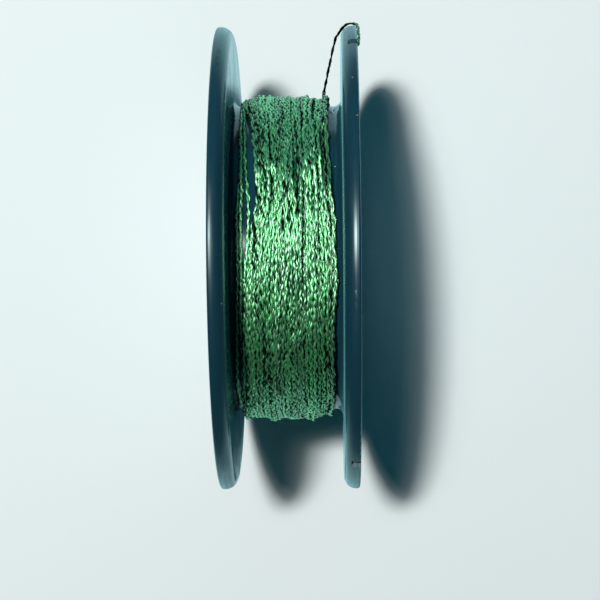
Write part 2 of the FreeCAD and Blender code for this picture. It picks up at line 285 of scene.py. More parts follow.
def moulded_plastic(name, colours, polish=0.1, worn=0.29):
    """Injection-moulded polystyrene. It gives near-black with a blue-green cast: mirror-like inside, where
    nothing has touched it, and softly streaked on the rims' crowns, which hands and tables have rubbed. On a
    closer look it gives hairline scratches, handling haze and specks of dust."""
    material, add = blank_material(name)
    # The rims are worn from 1.1 mm inside their edge, and fully worn from 0.5 mm
    start, end = (FLANGE_RADIUS - 1.1) * MM, (FLANGE_RADIUS - 0.5) * MM
    radius = axis_distance(add, (1, 0, 1))
    crown = add(
        "ShaderNodeMapRange",
        {"Value": radius, "From Min": start, "From Max": end, "To Min": polish, "To Max": worn},
        interpolation_type="SMOOTHSTEP",
    )
    # Streaks along the rims' travel, a few tenths of a millimetre apart
    streak = add(
        "ShaderNodeTexNoise", {"Vector": object_pattern(add, 0.5, (0.03, 1, 0.03)), "Scale": 1.0, "Detail": 4.0}
    )
    streaked = add("ShaderNodeMath", {0: streak, 1: 0.5}, operation="ADD")
    # Haze from handling, patches about 6 mm across
    haze = add("ShaderNodeTexNoise", {"Vector": object_pattern(add, 6), "Scale": 1.0, "Detail": 4.0})
    hazed = add("ShaderNodeMapRange", {"Value": haze, "From Min": 0.45, "From Max": 0.75, "To Max": 0.12})
    rough = add("ShaderNodeMath", {0: crown, 1: streaked, 2: hazed}, operation="MULTIPLY_ADD")
    # Dust specks about 0.15 mm across, thinly scattered
    cells = add("ShaderNodeTexVoronoi", {"Vector": object_pattern(add, 1.1), "Scale": 1.0})
    near = add("ShaderNodeMath", {0: cells.outputs["Distance"], 1: 0.075}, operation="LESS_THAN")
    chosen = add("ShaderNodeSeparateColor", {0: cells.outputs["Color"]})
    few = add("ShaderNodeMath", {0: chosen, 1: 0.88}, operation="GREATER_THAN")
    dust = add("ShaderNodeMath", {0: near, 1: few}, operation="MULTIPLY")
    tint = add(
        "ShaderNodeMix", {"Factor": dust, "A": rgba(colours.plastic), "B": rgba(colours.lint)}, data_type="RGBA"
    )
    dull = add("ShaderNodeMath", {0: dust, 1: 0.5, 2: rough}, operation="MULTIPLY_ADD")
    # Fine scratches, long across the rim's travel and a tenth of a millimetre apart
    scratch = add(
        "ShaderNodeTexNoise",
        {"Vector": object_pattern(add, 0.25, (0.06, 1, 0.06)), "Scale": 1.0, "Detail": 3.0},
    )
    bump = add("ShaderNodeBump", {"Height": scratch, "Strength": 0.06, "Distance": 0.02 * MM})
    return shaded(
        material,
        Base_Color=tint.outputs["Result"],
        Roughness=dull,
        IOR=1.59,
        Specular_Tint=rgba(colours.gloss),
        Sheen_Weight=0.2,
        Sheen_Roughness=0.45,
        Sheen_Tint=rgba(colours.haze),
        Normal=bump,
    )


def label_film(name, colours):
    """Coated label paper, printed with nothing. It gives a satin pale disc with a faint fibre cloud."""
    material, add = blank_material(name)
    grain = add("ShaderNodeTexNoise", {"Vector": object_pattern(add, 0.3), "Scale": 1.0})
    bump = add("ShaderNodeBump", {"Height": grain, "Strength": 0.15, "Distance": 0.02 * MM})
    paper = clouded(add, colours.label, 0.86, 1.6, 6.0)
    return shaded(material, Base_Color=paper, Roughness=0.42, IOR=1.5, Normal=bump)


def adhesive_tape(name, colours):
    """Clear adhesive tape on a dark drum. It gives a dull straw-coloured patch with trapped air."""
    material, add = blank_material(name)
    return shaded(material, Base_Color=clouded(add, colours.tape, 0.5, 0.8, 3.0), Roughness=0.3, IOR=1.47)


def coated_braid(name, colours, level=1.0):
    """Resin-coated polyethylene braid. It gives a silky pale mint where strands stand proud, and painted shade
    in a saturated dark green in the hollows between strands and on turns that lie under others, where the coat
    is thinned as well; and a broad soft highlight: the fibres' tinted sheen under the coat's pale one. A level
    under 1 darkens a whole copy as painted shade."""
    material, add = blank_material(name)
    proud, tone, fibre, beside = (
        add("ShaderNodeAttribute", attribute_name=kind).outputs
        for kind in ("proud", "tone", "fibre", "beside")
    )
    # Fibre streaks along each strand, drawn 0.06 mm wide, which is as fine as a close view shows
    streak = add(
        "ShaderNodeTexNoise", {"Vector": fibre["Vector"], "Scale": 1 / (0.06 * MM), "Roughness": 0.6}
    )
    raised = add("ShaderNodeMath", {0: streak, 1: 0.4, 2: proud["Fac"]}, operation="MULTIPLY_ADD")
    # Painted shade: the colour darkens from the strands' tops into the hollows between strands and on turns
    # that lie under others
    share = add(
        "ShaderNodeMapRange",
        {"Value": raised, "From Min": 0.39, "From Max": 1.06},
        interpolation_type="SMOOTHSTEP",
    )
    mixed = add(
        "ShaderNodeMix",
        {"Factor": share, "A": rgba(colours.line_painted_shade), "B": rgba(colours.line_pale)},
        data_type="RGBA",
    )
    # Random tone along the line, and the level, which darkens a whole copy of the material as painted shade
    lightness = {"Value": tone["Fac"], "From Min": -1.0, "To Min": 0.58 * level, "To Max": 1.5 * level}
    value = add("ShaderNodeMapRange", lightness)
    toned = add("ShaderNodeHueSaturation", {"Value": value, "Color": mixed.outputs["Result"]})
    bump = add("ShaderNodeBump", {"Height": streak, "Strength": 0.15, "Distance": 0.02 * MM})
    # Painted shade as well: the coat thins into the hollows, and with the level
    coat = add("ShaderNodeMath", {0: share, 1: level}, operation="MULTIPLY")
    # The filaments lie along the strand, so its sheen is spread across it
    return shaded(
        material,
        Base_Color=toned,
        Metallic=0.92,
        Roughness=0.56,
        IOR=1.54,
        Anisotropic=0.6,
        Tangent=beside["Vector"],
        Coat_Weight=coat,
        Coat_Roughness=0.43,
        Coat_IOR=3.5,
        Normal=bump,
    )


def add_object(name, data):
    """Puts an object in the scene."""
    made = bpy.data.objects.new(name, data)
    bpy.context.scene.collection.objects.link(made)
    return made


def mesh_object(name, points, faces, material):
    mesh = bpy.data.meshes.new(name)
    mesh.from_pydata(points, [], faces)
    mesh.validate()
    mesh.polygons.foreach_set("use_smooth", [True] * len(mesh.polygons))
    mesh.materials.append(material)
    return add_object(name, mesh)


def evaluated(route):
    """The mesh that an object shows as, in place of the object."""
    route.update_tag()
    bpy.context.view_layer.update()
    mesh = bpy.data.meshes.new_from_object(route.evaluated_get(bpy.context.evaluated_depsgraph_get()))
    bpy.data.objects.remove(route)
    return mesh


def finish_node(node, material):
    """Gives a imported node's object its material."""
    data = frame["nodes"][node].data
    data.materials.clear()
    data.materials.append(material)


def around(radius, degrees, along):
    angle = np.radians(degrees)
    return np.stack([-radius * np.cos(angle), along + 0 * angle, radius * np.sin(angle)], axis=-1)


def crown_height(along):
    """How far the wound line stands above the drum, on the circle through the pack's three heights."""
    (a, p), (b, q), (c, s) = PACK_HEIGHTS
    d = 2 * (a * (q - s) + b * (s - p) + c * (p - q))
    aa, bb, cc = a * a + p * p, b * b + q * q, c * c + s * s
    middle = (aa * (q - s) + bb * (s - p) + cc * (p - q)) / d
    above = (aa * (c - b) + bb * (a - c) + cc * (b - a)) / d
    return above + np.sqrt((a - middle) ** 2 + (p - above) ** 2 - (along - middle) ** 2)


def edge_at(edge, degrees):
    """An edge's place at an angle, from its places by angle."""
    angles, places = zip(*edge)
    return np.interp(np.mod(degrees, 360), angles, places, period=360)


def slumped(along, degrees):
    """Where a place on the evenly wound pack lies after its sides have slumped to their edges."""
    share = np.clip((along - PACK_LEFT) / (PACK_RIGHT - PACK_LEFT), 0, 1)
    left = edge_at(LEFT_EDGE, degrees) + LINE_HALF - PACK_LEFT
    right = edge_at(RIGHT_EDGE, degrees) - LINE_HALF - PACK_RIGHT
    return along + left * (1 - share) ** 2 + right * share**2


def eased(share):
    """A share that starts and ends gently."""
    return share * share * (3 - 2 * share)


def drift(rng, count, reach):
    """Smooth noise of about unit height, cell by cell, with knots a number of cells apart."""
    knots = rng.normal(size=int(count / reach) + 4)
    x = np.arange(count) / reach
    k = x.astype(int)
    t = eased(x - k)
    return knots[k] * (1 - t) + knots[k + 1] * t


def smoothed(values, half):
    kernel = np.hanning(2 * half + 3)[1:-1]
    padded = np.pad(values, half, mode="edge")
    return np.convolve(padded, kernel / kernel.sum(), mode="valid")


class Bed:
    """The surface that line is laid on: its height above the drum on a grid round and across the drum."""

    def __init__(self, line):
        self.half_width = line.room / MM / 2
        self.half_depth = line.thickness / MM / 2
        corner = np.clip(np.abs(ACROSS_PLACES) - DRUM_END, 0, ROOT_FILLET)
        fillet = ROOT_FILLET - np.sqrt(ROOT_FILLET**2 - corner**2)
        self.heights = np.tile(fillet, (TURN_CELLS, 1))
        reach = int(self.half_width / ACROSS_STEP)
        self.offsets = np.arange(-reach, reach + 1)
        self.cap = self.half_depth * np.sqrt(1 - (self.offsets * ACROSS_STEP / self.half_width) ** 2)

    def fill(self, depth):
        """Raises the bed to the layers under the ones that are laid, a depth below the pack's outside."""
        samples = 300
        source = np.linspace(PACK_LEFT, PACK_RIGHT, samples)
        level = np.clip(crown_height(source) - depth, 0, None)
        for cell in range(TURN_CELLS):
            moved = slumped(source, 360 * cell / TURN_CELLS)
            laid = np.interp(ACROSS_PLACES, moved, level, left=0, right=0)
            self.heights[cell] = np.maximum(self.heights[cell], laid)

    def cells(self, along):
        at = np.rint((along - ACROSS_START) / ACROSS_STEP).astype(int)
        return np.clip(at[:, None] + self.offsets, 0, ACROSS_CELLS - 1)

    def rest(self, rows, along):
        """The height at which the line's middle rests."""
        return (self.heights[rows[:, None], self.cells(along)] + self.cap).max(axis=1)

    def lay(self, rows, along, height):
        columns = self.cells(along)
        raised = np.maximum(self.heights[rows[:, None], columns], height[:, None] + self.cap)
        self.heights[rows[:, None], columns] = raised


def wind(bed, along, first_cell, kinks):
    """Lays a line whose wished places are given cell by cell, one turn after another. Each stretch slips
    towards the nearest hollow, its kinks are added, and tension pulls it straight over the gaps. Gives its
    places and heights."""
    count = len(along)
    # Cells that a turn is worked out beyond its ends, and rounds of slipping and of pulling straight
    lap, slips, pulls = 40, 2, 60
    # Millimetres from which a slope is felt, by which the line slips at most, and by which it sinks in
    feel, farthest, sink = 0.08, 0.09, 0.1
    # Millimetres that it slips for one of slope, and cells over which slopes, places and heights are evened out
    give, slope_reach, place_reach, height_reach = 0.2, 8, 5, 3
    # How far a straight line between the cells on both sides passes under a round one
    bend = (2 * math.pi * MEAN_RADIUS / TURN_CELLS) ** 2 / (2 * MEAN_RADIUS)
    placed, height = along.copy(), np.zeros(count)
    for start in range(0, count, TURN_CELLS):
        low, high = max(0, start - lap), min(count, start + TURN_CELLS + lap)
        rows = (first_cell + np.arange(low, high)) % TURN_CELLS
        wish = along[low:high]
        here = wish.copy()
        for _ in range(slips):
            slope = bed.rest(rows, here + feel) - bed.rest(rows, here - feel)
            here = here - give * smoothed(slope, slope_reach)
            here = wish + np.clip(here - wish, -farthest, farthest)
            here = smoothed(here, place_reach)
        here = here + kinks[low:high]
        support = bed.rest(rows, here)
        tense = support.copy()
        for _ in range(pulls):
            chord = (np.roll(tense, 1) + np.roll(tense, -1)) / 2 - bend
            chord[0], chord[-1] = support[0], support[-1]
            tense = np.maximum(support - sink, chord)
        tense = smoothed(tense, height_reach)
        if start:
            blend = np.linspace(0, 1, 2 * lap)
            here[: 2 * lap] = placed[low : low + 2 * lap] * (1 - blend) + here[: 2 * lap] * blend
            tense[: 2 * lap] = height[low : low + 2 * lap] * (1 - blend) + tense[: 2 * lap] * blend
        placed[low:high], height[low:high] = here, tense
        turn = slice(start - low, min(high, start + TURN_CELLS) - low)
        bed.lay(rows[turn], here[turn], tense[turn])
    return placed, height


def sway(rng, count, first_cell, reach, turns):
    """Smooth noise that neighbouring turns share, with knots a number of cells apart round the spool and a
    number of turns apart across it."""
    round_knots = int(TURN_CELLS / reach)
    x = (first_cell + np.arange(count)) % TURN_CELLS / TURN_CELLS * round_knots
    y = np.arange(count) / TURN_CELLS / turns
    knots = rng.normal(size=(int(y[-1]) + 2, round_knots))
    i, j = x.astype(int), y.astype(int)
    s, t = eased(x - i), eased(y - j)
    here = knots[j, i % round_knots] * (1 - s) + knots[j, (i + 1) % round_knots] * s
    on = knots[j + 1, i % round_knots] * (1 - s) + knots[j + 1, (i + 1) % round_knots] * s
    return here * (1 - t) + on * t


def layer_places(rng, start, end, turns, first_cell):
    """The wished places of one layer, whose turns lie side by side. Away from its first and last turns they
    sway, by millimetres that neighbours share and by a few hundredths of their own."""
    shared, own = 0.22, 0.04
    count = int(turns * TURN_CELLS)
    share = np.arange(count) / count
    along = start + (end - start) * share
    inner = np.clip(12 * share * (1 - share), 0, 1)
    along += inner * (shared * sway(rng, count, first_cell, 120, 5) + own * drift(rng, count, 60))
    return slumped(along, 360 * (first_cell + np.arange(count)) / TURN_CELLS)


def kinks_of(rng, line, count, first_cell):
    """How the line snakes: mostly with its neighbours, and a little by itself. Each wave has its height, the
    cells between its knots and, where neighbours share it, the turns between them."""
    waves = 0
    for height, cells, turns in ((0.7, 30, 2.5), (0.35, 11, 1.3)):
        waves = waves + height * sway(rng, count, first_cell, cells, turns)
    for height, cells in ((0.25, 9), (0.2, 25)):
        waves = waves + height * drift(rng, count, cells)
    return smoothed(line.wander / MM * waves, 2)


def line_points(along, height, first_cell, lay_length, rng):
    """The line's middle in metres with the values that its braid needs at each point. The braid is drawn out
    and pushed together by an eighth, and the line rolls by a sixth of a turn."""
    stretch, roll = 0.12, 0.16
    count = len(along)
    degrees = 360 * (first_cell + np.arange(count)) / TURN_CELLS
    points = around(DRUM_RADIUS + height, degrees, along) * MM
    steps = np.linalg.norm(np.diff(points, axis=0), axis=1)
    pace = 1 + stretch * drift(rng, count, 60)
    return {
        "points": points,
        "out": around(1.0, degrees, 0.0),
        "lay": np.concatenate([[0], np.cumsum(steps / lay_length * pace[1:])]),
        "twist": roll * drift(rng, count, 150),
    }


def braid_tree():
    """Geometry nodes that turn a line's middle into a braid of four strands, two each way round, which
    pass over and under each other."""
    tree = bpy.data.node_groups.new("Four-strand braid", "GeometryNodeTree")
    sizes = ("Width", "Thickness", "Strand", "Strand depth", "Crossing depth", "Looseness")
    kinds = {"Geometry": "Geometry", **dict.fromkeys(sizes, "Float"), "Material": "Material"}
    for name, kind in kinds.items():
        tree.interface.new_socket(name, in_out="INPUT", socket_type="NodeSocket" + kind)
    tree.interface.new_socket("Geometry", in_out="OUTPUT", socket_type="NodeSocketGeometry")
    add = partial(add_node, tree)
    entry = add("NodeGroupInput").outputs
    field = {name: entry[name] for name in sizes}
    field["place"] = add("GeometryNodeInputPosition").outputs[0]
    field["tangent"] = add("GeometryNodeInputTangent").outputs[0]
    field["length"] = add("GeometryNodeSplineParameter").outputs["Length"]
    vectors = ("out", "middle", "facing", "ring")
    names = ("lay", "twist", "tone", "exposed", "splay", "run", *vectors)
    for name in names:
        kind = "FLOAT_VECTOR" if name in vectors else "FLOAT"
        attribute = add("GeometryNodeInputNamedAttribute", {"Name": name}, data_type=kind)
        field[name] = attribute.outputs[0]
    store, vector = "GeometryNodeStoreNamedAttribute", {"data_type": "FLOAT_VECTOR"}

    def work_out(kind, *steps):
        """Adds arithmetic step by step. A step is the result's name, the operation and its inputs, each a
        field's name or a number."""
        for name, operation, *inputs in steps:
            places = (0, 3) if operation == "SCALE" else range(len(inputs))
            values = {place: field.get(value, value) for place, value in zip(places, inputs)}
            outputs = add(kind, values, operation=operation).outputs
            field[name] = outputs["Value"] if operation == "DOT_PRODUCT" else outputs[0]

    def lead(geometry, *stages):
        """Leads geometry through nodes, each given as its kind, its other inputs and its settings."""
        for kind, inputs, settings in stages:
            node = add(kind, inputs, **settings)
            tree.links.new(geometry, node.inputs[0])
            geometry = node.outputs[0]
        return geometry

    middle = lead(
        entry["Geometry"],
        ("GeometryNodeMeshToCurve", {}, {}),
        (store, {"Name": "middle", "Value": field["place"]}, vector),
    )
    copies = add("GeometryNodeDuplicateElements", {"Geometry": middle, "Amount": 4}, domain="SPLINE")
    field["index"] = copies.outputs["Duplicate Index"]
    # Which way each strand goes round, where it starts, its angle round the middle, and its fibres' start
    work_out(
        "ShaderNodeMath",
        ("odd", "MODULO", "index", 2.0),
        ("way", "MULTIPLY_ADD", "odd", -2.0, 1.0),
        ("halved", "DIVIDE", "index", 2.0),
        ("pair", "FLOOR", "halved"),
        ("start", "MULTIPLY", "pair", 0.5),
        ("wound", "MULTIPLY_ADD", "lay", "way", "start"),
        ("turns", "ADD", "wound", "twist"),
        ("angle", "MULTIPLY", "turns", 2 * math.pi),
        ("sine", "SINE", "angle"),
        ("cosine", "COSINE", "angle"),
        ("track", "MULTIPLY", "index", 7.3),
        ("shaken", "MULTIPLY", "Looseness", 7.0),
        ("staggered", "MULTIPLY_ADD", "index", 0.37, "length"),
        ("stretched", "MULTIPLY", "run", 0.06),
        ("reach", "MULTIPLY", "Thickness", 0.5),
    )
    # Each strand's own straying, about one knot in 1.2 mm
    track = add("ShaderNodeCombineXYZ", {"X": field["lay"], "Y": field["track"]})
    noise = add("ShaderNodeTexNoise", {"Vector": track, "Scale": 3.5, "Detail": 1.0})
    field["noise"] = noise.outputs["Color"]
    work_out(
        "ShaderNodeVectorMath",
        ("centred", "SUBTRACT", "noise", (0.5, 0.5, 0.5)),
        ("stray", "SCALE", "centred", "shaken"),
    )
    strays = add("ShaderNodeSeparateXYZ", {0: field["stray"]}).outputs
    field["stray across"], field["stray above"] = strays["X"], strays["Y"]
    field["shade"] = add("ShaderNodeSeparateXYZ", {0: field["centred"]}).outputs["Z"]
    work_out(
        "ShaderNodeMath",
        ("shaded", "MULTIPLY_ADD", "shade", 3.0, "tone"),
        ("crossings", "MULTIPLY", "lay", 4 * math.pi),
        ("swing", "COSINE", "crossings"),
        ("wave", "MULTIPLY", "swing", "way"),
        ("weave", "MULTIPLY", "wave", "Crossing depth"),
        ("open width", "SUBTRACT", "Width", "Strand depth"),
        ("spread", "MULTIPLY", "open width", "splay"),
        ("open height", "SUBTRACT", "Thickness", "Strand depth"),
        ("rise", "MULTIPLY", "open height", 0.5),
        ("face across", "MULTIPLY", "sine", "rise"),
        ("face above", "MULTIPLY", "cosine", "spread"),
        ("across", "MULTIPLY_ADD", "sine", "spread", "stray across"),
        ("height", "MULTIPLY", "cosine", "rise"),
        ("lift", "MULTIPLY", "stray above", 0.6),
        ("above", "ADD", "height", "lift"),
    )
    # Each strand's place beside the middle, and the way that its flat side faces
    work_out(
        "ShaderNodeVectorMath",
        ("beside line", "CROSS_PRODUCT", "tangent", "out"),
        ("sideways", "NORMALIZE", "beside line"),
        ("face x", "SCALE", "sideways", "face across"),
        ("face z", "SCALE", "out", "face above"),
        ("face", "ADD", "face x", "face z"),
        ("flat face", "NORMALIZE", "face"),
        ("flat x", "SCALE", "sideways", "across"),
        ("flat z", "SCALE", "out", "above"),
        ("flat", "ADD", "flat x", "flat z"),
        ("woven", "SCALE", "flat face", "weave"),
        ("offset", "ADD", "flat", "woven"),
        ("beside", "CROSS_PRODUCT", "tangent", "facing"),
    )
    strands = lead(
        copies.outputs[0],
        (store, {"Name": "facing", "Value": field["flat face"]}, vector),
        (store, {"Name": "tone", "Value": field["shaded"]}, {}),
        ("GeometryNodeSetPosition", {"Offset": field["offset"]}, {}),
        (store, {"Name": "beside", "Value": field["beside"]}, vector),
        ("GeometryNodeSetCurveNormal", {"Normal": field["facing"]}, {"mode": "FREE"}),
        (store, {"Name": "run", "Value": field["staggered"]}, {}),
    )
    circle = add("GeometryNodeCurvePrimitiveCircle", {"Resolution": 8, "Radius": 0.5})
    oval = add("ShaderNodeCombineXYZ", {"X": field["Strand depth"], "Y": field["Strand"], "Z": 1.0})
    profile = lead(
        circle.outputs[0],
        ("GeometryNodeTransform", {"Scale": oval}, {}),
        (store, {"Name": "ring", "Value": field["place"]}, vector),
    )
    # The fibres' place in a strand, and how far each point stands out from the line's middle, lowered by the
    # painted shade of turns that lie under others
    field["drawn"] = add("ShaderNodeCombineXYZ", {"Z": field["stretched"]})
    work_out(
        "ShaderNodeVectorMath",
        ("fibre", "ADD", "ring", "drawn"),
        ("away", "SUBTRACT", "place", "middle"),
        ("height out", "DOT_PRODUCT", "away", "out"),
    )
    work_out("ShaderNodeMath", ("share", "DIVIDE", "height out", "reach"), ("proud", "ADD", "share", "exposed"))
    painted = lead(
        strands,
        ("GeometryNodeCurveToMesh", {"Profile Curve": profile, "Fill Caps": True}, {}),
        (store, {"Name": "fibre", "Value": field["fibre"]}, vector),
        (store, {"Name": "proud", "Value": field["proud"]}, {}),
        *(("GeometryNodeRemoveAttribute", {"Name": name}, {}) for name in names if name != "tone"),
        ("GeometryNodeSetShadeSmooth", {"Shade Smooth": True}, {}),
        ("GeometryNodeRealizeInstances", {}, {}),
        ("GeometryNodeSetMaterial", {"Material": entry["Material"]}, {}),
    )
    add("NodeGroupOutput", {"Geometry": painted})
    return tree


def braided(name, tree, run, material, line, width, thickness, strand=1.0):
    """A piece of braid along a run of the line's middle, its strands scaled."""
    mesh = bpy.data.meshes.new(name + " route")
    points = run["points"].tolist()
    mesh.from_pydata(points, [(k, k + 1) for k in range(len(points) - 1)], [])
    for key in ("lay", "twist", "tone", "exposed", "splay", "out"):
        kind, field = ("FLOAT_VECTOR", "vector") if key == "out" else ("FLOAT", "value")
        values = np.asarray(run[key], dtype=np.float32)
        mesh.attributes.new(key, kind, "POINT").data.foreach_set(field, values.ravel())
    route = add_object(name + " route", mesh)
    modifier = route.modifiers.new("Braid", "NODES")
    modifier.node_group = tree
    # A strand moves by 0.42 of its thickness where it passes over another or under it
    wanted = {
        "Width": width,
        "Thickness": thickness,
        "Strand": line.strand * strand,
        "Strand depth": line.strand_depth * strand,
        "Crossing depth": line.strand_depth * strand * 0.42,
        "Looseness": line.looseness * strand,
        "Material": material,
    }
    for item in tree.interface.items_tree:
        if item.name in wanted:
            modifier[item.identifier] = wanted[item.name]
    made = evaluated(route)
    made.name = name
    bpy.data.meshes.remove(mesh)
    return add_object(name, made)


def place_line(piece, node):
    """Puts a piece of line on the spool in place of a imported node."""
    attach(piece, BODY)
    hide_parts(node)


def buried_turns(bed, material):
    """The turns under the braided layers, as the surface of the bed when their laying was done: a closed ring
    of sections, painted dark as shade."""
    every, across = 3, 120
    # Millimetres: in from the pack's left edge, under the bed, and over the drum at the ring's edges and inside
    inset, sunk, floor, inside = 0.4, 0.06, 0.03, 0.01
    points = []
    for row in range(0, TURN_CELLS - every, every):
        degrees = 360 * row / TURN_CELLS
        places = np.linspace(edge_at(LEFT_EDGE, degrees) + inset, DEEP_RIGHT, across)
        heights = np.maximum(np.interp(places, ACROSS_PLACES, bed.heights[row]) - sunk, floor)
        heights[0] = heights[-1] = floor
        section = np.append(heights, (inside, inside)), np.append(places, (places[-1], places[0]))
        points += (around(DRUM_RADIUS + section[0], degrees, section[1]) * MM).tolist()
    size, faces = across + 2, []
    for here in range(0, len(points), size):
        on = (here + size) % len(points)
        for a in range(size):
            b = (a + 1) % size
            faces.append((here + a, on + a, on + b, here + b))
    made = mesh_object("line_buried_turns", points, faces, material)
    # Painted shade: nearly as dark as the hollows between strands
    made.data.attributes.new("proud", "FLOAT", "POINT").data.foreach_set("value", [0.1] * len(points))
    return made


def buried_shade_share(bed, run, first_cell):
    """Painted shade for turns that lie under others, as how far the line's top is from the bed's final surface
    nearby: 0 on the outside, less below it.
    """
    along, height = run["along"], run["height"]
    rows = (first_cell + np.arange(len(along))) % TURN_CELLS
    top = bed.heights[rows[:, None], bed.cells(along)].max(axis=1)
    buried = top - (height + bed.half_depth)
    # The painted shade counts 0.5 less for each half of its thickness that it lies deeper, down to the last
    # that shows
    less, deepest = 0.5, 1.2
    return -less * np.clip(buried / bed.half_depth, 0, deepest)


class SPOOL_OT_mouldings(bpy.types.Operator):
    """Finish the two flanges and the drum as moulded polystyrene"""

    bl_idname = "spool.mouldings"
    bl_label = "Mouldings"

    def execute(self, context):
        colours = context.scene.spool_colours
        flanges = moulded_plastic("Moulded polystyrene, flanges", colours)
        finish_node("left_flange", flanges)
        finish_node("right_flange", flanges)
        finish_node("drum_core", moulded_plastic("Moulded polystyrene, drum", colours, polish=0.14))
        return {"FINISHED"}


class SPOOL_OT_labels(bpy.types.Operator):
    """Finish the two labels as bare coated paper, and the anchor tape"""

    bl_idname = "spool.labels"
    bl_label = "Labels and tape"

    def execute(self, context):
        colours = context.scene.spool_colours
        film = label_film("Coated label paper", colours)
        finish_node("left_label", film)
        finish_node("right_label", film)
        finish_node("anchor_tape", adhesive_tape("Adhesive tape", colours))
        return {"FINISHED"}


class SPOOL_OT_wound_line(bpy.types.Operator):
    """Wind the line on the drum: buried turns, two braided layers, and the turns that slipped off the side"""

    bl_idname = "spool.wound_line"
    bl_label = "Wound line"

    def execute(self, context):
        line, colours = context.scene.spool_line, context.scene.spool_colours
        rng = np.random.default_rng(line.seed)
        bed = Bed(line)
        bed.fill(LAID_LAYERS * line.thickness / MM)
        deep_turns, mid_turns, top_turns = (
            round((right - PACK_LEFT) / (line.pitch / MM)) for right in (DEEP_RIGHT, MIDDLE_RIGHT, PACK_RIGHT)
        )
        # The cells where the layers start, counted back from where the line leaves the pack
        last = self.last_places(rng)
        top_first = round(TAG_ROUTE[0][1] / 360 * TURN_CELLS) - len(last) - top_turns * TURN_CELLS
        stray_first = top_first - STRAY_TURNS * TURN_CELLS
        mid_first = stray_first - mid_turns * TURN_CELLS
        deep_first = mid_first - deep_turns * TURN_CELLS
        deep = layer_places(rng, PACK_LEFT, DEEP_RIGHT, deep_turns, deep_first)
        wind(bed, deep, deep_first, kinks_of(rng, line, len(deep), deep_first))
        # A darker copy of the braid's material, painted shade for the buried turns
        buried = buried_turns(bed, coated_braid("Resin-coated polyethylene, buried", colours, 0.5))
        place_line(buried, "line_core")
        middle = layer_places(rng, MIDDLE_RIGHT, PACK_LEFT, mid_turns, mid_first)
        stray = self.stray_places(rng, 360 * stray_first / TURN_CELLS)
        top = layer_places(rng, PACK_LEFT, PACK_RIGHT, top_turns, top_first)
        whole = np.concatenate([middle, stray, top, last])
        slipped = slice(len(middle), len(middle) + len(stray))
        # The layers run into each other over some cells on both sides of their joints
        side, reach = 60, 50
        for joint in (slipped.start, slipped.stop, len(whole) - len(last)):
            near = whole[joint - side - reach : joint + side + reach]
            whole[joint - side : joint + side] = smoothed(near, reach)[reach:-reach]
        kinks = kinks_of(rng, line, len(whole), mid_first)
        # The slipped turns lie straight
        kinks[slipped] = 0
        placed, height = wind(bed, whole, mid_first, smoothed(kinks, 4))
        run = line_points(placed, height, mid_first, line.lay, rng)
        run["along"], run["height"] = placed, height
        run["tone"] = 0.4 * drift(rng, len(placed), TURN_CELLS // 2)
        # Half the line's width counts where it is pressed flat, less where it lies free beside the pack
        splay = np.full(len(placed), 0.5)
        splay[slipped] = 0.26
        run["splay"] = smoothed(splay, side)
        # Painted shade on the turns that lie under others
        run["exposed"] = buried_shade_share(bed, run, mid_first)
        tree = braid_tree()
        material = coated_braid("Resin-coated polyethylene braid", colours)
        # A point at every second cell follows the line's bends, and six turns make a piece
        every, per_piece = 2, 6 * TURN_CELLS
        for number, start in enumerate(range(0, len(placed), per_piece), 1):
            cells = slice(start, start + per_piece + every, every)
            part = {key: values[cells] for key, values in run.items()}
            piece = braided(f"line_turns_{number}", tree, part, material, line, line.width, line.thickness)
            place_line(piece, "line_top_layer")
        return {"FINISHED"}

    @staticmethod
    def stray_places(rng, first):
        """Turns that slipped off the pack's left side: down beside it, nearly to the corner, and back up."""
        count = STRAY_TURNS * TURN_CELLS
        turned = (first - TAG_ROUTE[0][1]) % 360 + 360 * np.arange(count) / TURN_CELLS
        knots, places = zip(*SLIPPED)
        return smoothed(np.interp(turned, knots, places) + 0.02 * drift(rng, count, 60), 12)

    @staticmethod
    def last_places(rng):
        """The last turns: one and a half at the right side, then back over the pack to the free end."""
        dwell, back = int(1.5 * TURN_CELLS), int(0.38 * TURN_CELLS)
        degrees = TAG_ROUTE[0][1] - 360 * np.arange(dwell + back, 0, -1) / TURN_CELLS
        # Millimetres that they keep from the pack's side, and by which they stray from it
        inset, stray = 0.15, 0.12
        wish = slumped(PACK_RIGHT - inset - stray * np.abs(drift(rng, dwell + back, 200)), degrees)
        share = eased(np.clip((np.arange(dwell + back) - dwell) / back, 0, 1))
        return wish * (1 - share) + TAG_ROUTE[0][2] * share


